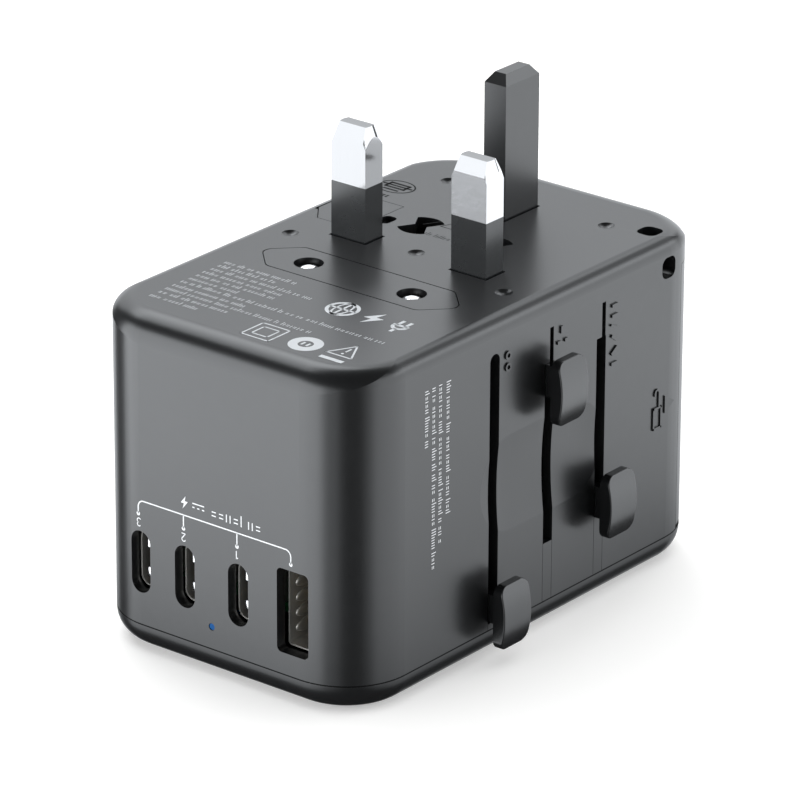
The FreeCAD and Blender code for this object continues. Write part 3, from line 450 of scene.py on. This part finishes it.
def scaled(shapes, size):
    return [[(x * size, y * size) for x, y in outline] for outline in shapes]


creaseAngle = 40  # degrees between two faces from which their edge stays sharp


def addPiece(name, build, material, body, shading="flat"):
    mesh = bpy.data.meshes.new(name)
    build.to_mesh(mesh)
    build.free()
    if shading != "flat":
        mesh.shade_smooth()
    if shading == "creased":
        mesh.set_sharp_from_angle(angle=math.radians(creaseAngle))
    mesh.materials.append(material)
    piece = bpy.data.objects.new(name, mesh)
    bpy.context.scene.collection.objects.link(piece)
    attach(piece, body)
    return piece


def layFlat(name, shapes, origin, across, up, height, material, body, slot, sink=0.02):
    # each outline becomes a thin closed plate, sunk a little into the face and standing proud by height
    out = Vector(across).cross(Vector(up))
    build = bmesh.new()
    for outline in shapes:
        foot, top = [], []
        for ring, level in ((foot, -sink), (top, height)):
            for x, y in outline:
                place = Vector(origin) + Vector(across) * x + Vector(up) * y + out * level
                ring.append(build.verts.new(place * mm))
        build.faces.new(foot[::-1])
        build.faces.new(top)
        for i in range(len(foot)):
            j = (i + 1) % len(foot)
            build.faces.new((foot[i], foot[j], top[j], top[i]))
    bmesh.ops.recalc_face_normals(build, faces=build.faces)
    return addPiece(name, build, material, body)


rowMarks = {
    "margin": 0.3, "fewest": 2, "most": 8, "gap": 0.4,
    "tickShare": 0.72, "tickHeights": (0.7, 0.7, 0.7, 1.0), "tickStep": 0.4,
    "dashLevels": (0.18, 0.52), "dashLength": 0.45, "dashStep": 0.8,
}


def markRow(dice, start, end, height, line=0.12):
    # a printed row reduced to ticks and dashes in word-like groups, with nothing to read in it
    shapes = []
    last = end - rowMarks["margin"]
    x = start
    while x < last:
        for _ in range(dice.randint(rowMarks["fewest"], rowMarks["most"])):
            if x > last:
                break
            tall = height * dice.choice(rowMarks["tickHeights"])
            if dice.random() < rowMarks["tickShare"]:
                shapes += bar(x, 0, x, tall, line)
                x += rowMarks["tickStep"] * height
            else:
                far = x + rowMarks["dashLength"] * height
                for level in rowMarks["dashLevels"]:
                    shapes += bar(x, level * height, far, level * height, line)
                x += rowMarks["dashStep"] * height
        x += rowMarks["gap"] * height
    return shapes


def tickRow(seed, start, end, height, line, foot):
    return shifted(markRow(random.Random(seed), start, end, height, line), 0, foot)


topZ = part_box("main_housing")[1][2] / mm
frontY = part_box("main_housing")[0][1] / mm
sideX = 25.25
topFace = {"origin": (0, 0, topZ), "across": (1, 0, 0), "up": (0, 1, 0), "body": "housing"}
frontFace = {"origin": (0, frontY, 0), "across": (1, 0, 0), "up": (0, 0, 1), "body": "housing"}
sideFace = {"origin": (sideX, 0, 0), "across": (0, 1, 0), "up": (0, 0, 1), "body": "housing"}
whitePrint = {"material": whiteInk, "slot": "ceramic"}
blackPrint = {"material": blackPrintAndShade, "slot": "black_plastic"}
raisedSign = {"material": finishes["shell"], "slot": "shell"}

plugFacePrint = {
    "rowHeight": 1.05, "start": -18.9, "seed": 7, "proud": 0.012,
    # place of each row's foot along Y and its end along X
    "rows": ((-17.8, -5.2), (-19.4, -8.1), (-21.0, 0.1), (-22.6, -4.3), (-24.2, -3.9), (-25.8, -9.6),
             (-27.4, 18.4), (-29.2, -4.8), (-30.8, 8.0), (-32.4, -5.9), (-34.2, -10.0)),
}


def plugFaceRows(settings):
    dice = random.Random(settings["seed"])
    shapes = []
    for y, end in settings["rows"]:
        shapes += shifted(markRow(dice, settings["start"], end, settings["rowHeight"]), 0, y)
    return shapes


def globeIcon(size, line):
    ring = arc(0, 0, size, 0, 360, line, 36)
    thin = line * 0.7
    narrowed = [[(0.5 * x, y) for x, y in outline] for outline in ring]
    return ring + bar(-size, 0, size, 0, thin) + bar(0, -size, 0, size, thin) + narrowed


def boltIcon(size):
    points = ((0.25, 1.0), (-0.65, -0.15), (-0.08, -0.15), (-0.3, -1.0), (0.65, 0.2), (0.08, 0.2))
    return scaled([points], size)


def plugIcon(size, line):
    shapes = bar(0, -size, 0, -0.45 * size, line)
    shapes += arc(0, 0.05 * size, 0.5 * size, 180, 360, line, 16)
    shapes += bar(-0.5 * size - line / 2, 0.1 * size, 0.5 * size + line / 2, 0.1 * size, line)
    for side in (-1, 1):
        shapes += bar(side * 0.3 * size, 0.1 * size, side * 0.3 * size, 0.85 * size, line)
    return shapes


plugFaceSigns = {
    "proud": 0.012,
    "globeX": 5.6, "boltX": 11.2, "plugX": 16.0, "iconY": -20.7, "iconSize": 2.3, "iconLine": 0.55,
    "squaresAt": (2.7, -34.2), "squareHalves": (2.45, 1.4), "squareLine": 0.25,
    "socketAt": (9.9, -34.1), "socketRadius": 1.85, "socketLine": 1.4,
    "holeX": 0.45, "holeReach": 0.5, "holeLine": 0.35,
    "triangle": ((13.9, -34.4), (18.3, -34.4), (16.1, -30.3)), "triangleLine": 0.28,
    "stroke": (16.1, -32.9, 16.1, -31.6, 0.3), "dot": (16.1, -33.6, 0.22),
    "barUnder": (14.1, -36.1, 18.2, -36.1, 0.8),
}


def plugFaceIcons(settings):
    size, line, y = settings["iconSize"], settings["iconLine"], settings["iconY"]
    shapes = shifted(globeIcon(size, line), settings["globeX"], y)
    shapes += shifted(boltIcon(size), settings["boltX"], y)
    shapes += shifted(plugIcon(size, line), settings["plugX"], y)
    for half in settings["squareHalves"]:
        corners = [(-half, -half), (half, -half), (half, half), (-half, half)]
        shapes += shifted(brokenLine(corners, settings["squareLine"], closed=True), *settings["squaresAt"])
    socket = arc(0, 0, settings["socketRadius"], 0, 360, settings["socketLine"], 36)
    for x in (-settings["holeX"], settings["holeX"]):
        socket += bar(x, -settings["holeReach"], x, settings["holeReach"], settings["holeLine"])
    shapes += shifted(socket, *settings["socketAt"])
    # a caution triangle over a bar
    shapes += brokenLine(settings["triangle"], settings["triangleLine"], closed=True)
    shapes += bar(*settings["stroke"]) + disc(*settings["dot"]) + bar(*settings["barUnder"])
    return shapes


layFlat("plug_face_rows", plugFaceRows(plugFacePrint), height=plugFacePrint["proud"], **whitePrint, **topFace)
layFlat("plug_face_icons", plugFaceIcons(plugFaceSigns), height=plugFaceSigns["proud"], **whitePrint,
        **topFace)

fuseSign = {
    "proud": 0.012,
    "ovalAt": (-19.2, 22.3), "ovalRadius": 3.05, "ovalSquash": 0.78, "ovalLine": 0.28,
    "case": ((-20.9, 21.8), (-17.5, 21.8), (-17.5, 23.4), (-20.9, 23.4)), "caseLine": 0.45,
    "wire": (-21.9, 22.6, -16.5, 22.6, 0.4), "barUnder": (-20.6, 20.9, -17.8, 20.9, 0.4),
    "ticks": {"seed": 9, "start": -21.0, "end": -17.2, "height": 1.3, "line": 0.3, "foot": 17.9},
}


def fuseMark(settings):
    # an oval round a fuse symbol, and a bar under it
    shapes = arc(*settings["ovalAt"], settings["ovalRadius"], 0, 360, settings["ovalLine"], 40,
                 settings["ovalSquash"])
    shapes += brokenLine(settings["case"], settings["caseLine"], closed=True)
    shapes += bar(*settings["wire"]) + bar(*settings["barUnder"])
    return shapes + tickRow(**settings["ticks"])


layFlat("fuse_mark", fuseMark(fuseSign), height=fuseSign["proud"], **blackPrint, **topFace)

bladeSigns = {
    "proud": 0.012,
    "leaning": (-6.4, 12.6, -5.0, 15.2, 0.16),
    "outline": ((-3.9, 13.6), (-1.9, 13.6), (-2.9, 16.2)), "outlineLine": 0.14,
    "ticks": {"seed": 3, "start": -3.9, "end": 3.4, "height": 1.1, "line": 0.12, "foot": 9.6},
}


def bladeMarks(settings):
    # a leaning blade and an outlined one, over a row of ticks, beside the blade slots
    shapes = bar(*settings["leaning"])
    shapes += brokenLine(settings["outline"], settings["outlineLine"], closed=True)
    return shapes + tickRow(**settings["ticks"])


layFlat("blade_marks", bladeMarks(bladeSigns), height=bladeSigns["proud"], **blackPrint, **topFace)

sidePrint = {
    "rowHeight": 1.0, "seed": 11, "proud": 0.012, "top": 46.3,
    # place of each row's foot along Y and the height it runs down to
    "rows": ((-21.8, 25.8), (-23.5, 22.4), (-25.0, 18.4), (-26.6, 37.4)),
}


def sideRows(settings):
    dice = random.Random(settings["seed"])
    shapes = []
    for y, low in settings["rows"]:
        row = markRow(dice, 0, settings["top"] - low, settings["rowHeight"])
        shapes += [[(y + v, settings["top"] - u) for u, v in outline] for outline in row]
    return shapes


layFlat("side_rows", sideRows(sidePrint), height=sidePrint["proud"], **whitePrint, **sideFace)

bracket = {
    "line": 23.9, "left": -15.1, "right": 13.2, "radius": 1.0, "width": 0.2,
    "drops": (-15.1, -6.6, 3.33, 13.2), "dotZ": 21.8, "dot": 0.32, "proud": 0.004,
}


def portBracket(settings):
    line, left, right = settings["line"], settings["left"], settings["right"]
    radius, width = settings["radius"], settings["width"]
    low = line - radius
    shapes = bar(left + radius, line, right - radius, line, width)
    shapes += arc(left + radius, low, radius, 90, 180, width, 8)
    shapes += arc(right - radius, low, radius, 0, 90, width, 8)
    for x in settings["drops"]:
        start = low if x in (left, right) else line
        shapes += bar(x, start, x, settings["dotZ"], width) + disc(x, settings["dotZ"], settings["dot"])
    return shapes


def digit(number, size, line=0.12):
    # upright figures from arcs and bars, drawn about their own middle
    if number == 1:
        shapes = bar(0.1, -0.5, 0.1, 0.5, line) + bar(0.1, 0.5, -0.15, 0.3, line)
    elif number == 2:
        shapes = arc(0, 0.24, 0.26, -35, 165, line, 12)
        shapes += bar(0.2, 0.1, -0.26, -0.44, line) + bar(-0.3, -0.46, 0.3, -0.46, line)
    else:
        shapes = arc(0, 0.24, 0.24, -90, 150, line, 12) + arc(0, -0.24, 0.26, -150, 90, line, 12)
    return scaled(shapes, size)


def turnedOver(shapes):
    return [[(-x, -y) for x, y in outline] for outline in shapes]


portSigns = {
    "figures": ((3, -15.0), (2, -6.6), (1, 3.33)), "figureSize": 1.25, "figureZ": 20.45,
    "boltAt": (-6.4, 25.9), "boltSize": 1.0,
    "steady": (-4.9, 26.2, -2.7, 26.2, 0.18),
    "dashes": (-4.9, -4.0, -3.1), "dashZ": 25.6, "dashLength": 0.4, "dashLine": 0.18,
    "ticks": {"seed": 5, "start": -1.3, "end": 7.2, "height": 1.7, "line": 0.17, "foot": 25.0},
}


def portFigures(settings):
    # the figures read the right way up when the pins point down
    shapes = []
    for number, x in settings["figures"]:
        shapes += shifted(turnedOver(digit(number, settings["figureSize"])), x, settings["figureZ"])
    shapes += shifted(boltIcon(settings["boltSize"]), *settings["boltAt"])
    shapes += bar(*settings["steady"])
    for x in settings["dashes"]:
        shapes += bar(x, settings["dashZ"], x + settings["dashLength"], settings["dashZ"],
                      settings["dashLine"])
    return shapes + tickRow(**settings["ticks"])


layFlat("port_bracket", portBracket(bracket), height=bracket["proud"], **whitePrint, **frontFace)
layFlat("port_figures", portFigures(portSigns), height=bracket["proud"], **whitePrint, **frontFace)

# raised signs beside the sliders: the pin patterns that each one brings out, all measured down from the top
sliderSigns = {
    "height": 0.25, "line": 0.34, "broad": 1.4, "top": 46.6,
    "round": {"y": -7.9, "drops": (0.6, 2.4), "radius": 0.5},
    "square": {"y": 4.75, "earthAside": 0.2, "earthDrop": 1.1, "aside": 0.85, "half": 0.35, "drop": 2.4},
    "flat": {"y": 17.2, "half": 0.7, "drops": (0.7, 2.3), "ruleHalf": 0.9, "ruleDrops": (3.6, 4.4),
             "leaning": ((5.8, 0.45), (7.8, -0.45)), "lastDrop": 9.8},
}


def pinSigns(settings):
    line, top = settings["line"], settings["top"]
    broad = line * settings["broad"]
    pins = settings["round"]
    shapes = []
    for drop in pins["drops"]:
        shapes += arc(pins["y"], top - drop, pins["radius"], 0, 360, line, 20)
    pins = settings["square"]
    y, z = pins["y"] - pins["earthAside"], top - pins["drop"]
    shapes += bar(y, top, y, top - pins["earthDrop"], broad)
    for side in (-1, 1):
        y = pins["y"] + side * pins["aside"]
        shapes += bar(y - pins["half"], z, y + pins["half"], z, broad)
    pins = settings["flat"]
    near, far = pins["y"] - pins["half"], pins["y"] + pins["half"]
    for drop in pins["drops"]:
        shapes += bar(near, top - drop, far, top - drop, broad)
    shapes += bar(pins["y"] - pins["ruleHalf"], top - pins["ruleDrops"][0],
                  pins["y"] + pins["ruleHalf"], top - pins["ruleDrops"][1], line)
    for drop, lean in pins["leaning"]:
        shapes += bar(near, top - drop + lean, far, top - drop - lean, broad)
    shapes += bar(near, top - pins["lastDrop"], far, top - pins["lastDrop"], broad)
    return shapes


openingSigns = {
    "height": 0.22, "line": 0.3,
    "arrow": ((29.9, 24.8), (32.2, 26.2), (29.9, 27.6)),
    "lock": ((27.2, 23.0), (29.0, 23.0), (29.0, 26.2), (27.2, 26.2)),
    "longLeg": (28.5, 26.4, 28.5, 28.6), "hoop": (28.0, 28.6, 0.5, 0, 180),
    "shortLeg": (27.5, 28.6, 27.5, 28.2),
}


def openSigns(settings):
    # an open padlock, with an arrow towards the hatch
    line = settings["line"]
    shapes = [settings["arrow"]] + brokenLine(settings["lock"], line, closed=True)
    shapes += bar(*settings["longLeg"], line) + arc(*settings["hoop"], line, 10)
    return shapes + bar(*settings["shortLeg"], line)


layFlat("slider_signs", pinSigns(sliderSigns), height=sliderSigns["height"], **raisedSign, **sideFace)
layFlat("opening_signs", openSigns(openingSigns), height=openingSigns["height"], **raisedSign, **sideFace)
print("prints and signs laid")


def joinBoxes(name, boxes, bevel, material, body):
    # small blocks with softened edges, given as low and high corners in millimetres
    build = bmesh.new()
    for low, high in boxes:
        made = bmesh.ops.create_cube(build, size=1.0)
        centre = (Vector(low) + Vector(high)) / 2 * mm
        size = (Vector(high) - Vector(low)) * mm
        for vert in made["verts"]:
            vert.co = Vector((vert.co.x * size.x, vert.co.y * size.y, vert.co.z * size.z)) + centre
    bmesh.ops.bevel(build, geom=build.edges[:], offset=bevel * mm, segments=2, affect="EDGES")
    return addPiece(name, build, material, body, shading="creased")


# painted shade: a black ring that darkens the seam groove
seamShade = {"low": 4.32, "high": 4.53, "proud": 0.003, "depth": 0.08, "corner": 10.5, "steps": 24}


def makeSeamShade(settings):
    # painted shade: a thin black ring in the groove's mouth where the socket cover meets the housing, a dark
    # line standing in for the shadow in the gap
    halfX, halfY = sideX, -frontY
    low, high, proud, depth = (settings[key] for key in ("low", "high", "proud", "depth"))
    build = bmesh.new()
    rings = []
    for inset, z in ((-proud, low), (-proud, high), (depth, high), (depth, low)):
        radius = settings["corner"] - inset
        ring = []
        for quarter, (sx, sy) in enumerate(((1, 1), (-1, 1), (-1, -1), (1, -1))):
            cx, cy = sx * (halfX - settings["corner"]), sy * (halfY - settings["corner"])
            for step in range(settings["steps"] + 1):
                angle = math.pi / 2 * (quarter + step / settings["steps"])
                place = Vector((cx + radius * math.cos(angle), cy + radius * math.sin(angle), z))
                ring.append(build.verts.new(place * mm))
        rings.append(ring)
    for near, far in zip(rings, rings[1:] + rings[:1]):
        for i in range(len(near)):
            j = (i + 1) % len(near)
            build.faces.new((near[i], near[j], far[j], far[i]))
    bmesh.ops.recalc_face_normals(build, faces=build.faces)
    addPiece("seam_shade_ring", build, blackPrintAndShade, "housing", shading="creased")


makeSeamShade(seamShade)

portPieces = []
tongueClips = {"half": 0.3, "ahead": 0.58, "reach": 1.2, "low": 1.6, "high": 2.95, "bevel": 0.02}
tongueContacts = {
    "pitch": 0.5, "count": 12, "width": 0.26, "start": 1.6, "length": 3.2,
    "face": 0.35, "sunk": 0.02, "skin": 0.03,  # distances from the tongue's middle, and from its face
    "bevel": 0.008,
}


def clipBoxes(settings, x, front, middleZ):
    boxes = []
    for side in (-1, 1):
        z0, z1 = sorted((middleZ + side * settings["low"], middleZ + side * settings["high"]))
        boxes.append(((x - settings["half"], front - settings["ahead"], z0),
                      (x + settings["half"], front + settings["reach"], z1)))
    return boxes


def contactBoxes(settings, x, front, middleZ):
    boxes = []
    half = settings["width"] / 2
    y0 = front + settings["start"]
    for side in (-1, 1):
        inner, outer = settings["face"] - settings["sunk"], settings["face"] + settings["skin"]
        x0, x1 = sorted((x + side * inner, x + side * outer))
        for step in range(settings["count"]):
            z = middleZ + (step - (settings["count"] - 1) / 2) * settings["pitch"]
            boxes.append(((x0, y0, z - half), (x1, y0 + settings["length"], z + half)))
    return boxes


def dressTongues(clips, contacts):
    low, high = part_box("usb_c_tongues")
    front = low[1] / mm
    middleZ = (low[2] + high[2]) / 2 / mm
    for number in (1, 2, 3):
        shellLow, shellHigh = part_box("usb_c_shell_%d" % number)
        x = (shellLow[0] + shellHigh[0]) / 2 / mm
        joinBoxes("tongue_clips_%d" % number, clipBoxes(clips, x, front, middleZ), clips["bevel"],
                  finishes["nickel"], "housing")
        joinBoxes("tongue_contacts_%d" % number, contactBoxes(contacts, x, front, middleZ),
                  contacts["bevel"], goldPlate, "housing")


dressTongues(tongueClips, tongueContacts)

springFingers = {"offsets": (-4.3, -2.0, 0.35, 2.7), "half": (0.35, 2.5, 1.0), "inset": 3.8, "skin": 0.25}


def makeSpringFingers(settings):
    # stamped bulges on both broad walls of the tall port's shell
    low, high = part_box("usb_a_shell")
    middleZ = (low[2] + high[2]) / 2
    skin = settings["skin"] * mm
    build = bmesh.new()
    for wallX in (low[0] + skin, high[0] - skin):
        for offset in settings["offsets"]:
            made = bmesh.ops.create_uvsphere(build, u_segments=20, v_segments=12, radius=mm)
            for vert in made["verts"]:
                vert.co = Vector(tuple(c * h for c, h in zip(vert.co, settings["half"])))
                vert.co += Vector((wallX, low[1] + settings["inset"] * mm, middleZ + offset * mm))
    return addPiece("port_spring_fingers", build, finishes["dark_steel"], "housing",
                    shading="smooth")


portPieces.append(makeSpringFingers(springFingers))
print("port details made")


def shareLights(groups):
    # light linking: a panel shines on its own group, or on everything but the bare pins
    for reaches, panels in softboxes.items():
        if reaches == "everything":
            continue
        allButPins = reaches == "body"
        for name in panels:
            reach = bpy.data.collections.new(name + "Reach")
            for member in groups["pins" if allButPins else reaches]:
                reach.objects.link(member)
            lights[name].light_linking.receiver_collection = reach
            if allButPins:
                for entry in reach.collection_objects:
                    entry.light_linking.link_state = "EXCLUDE"


pinNodes = [nodes["uk_line_pin"], nodes["uk_neutral_pin"]]
portNodes = [node for name, node in nodes.items() if name.startswith("usb_")]
shareLights({"floor": [floor], "pins": pinNodes, "ports": portNodes + portPieces})
print("lights shared out")
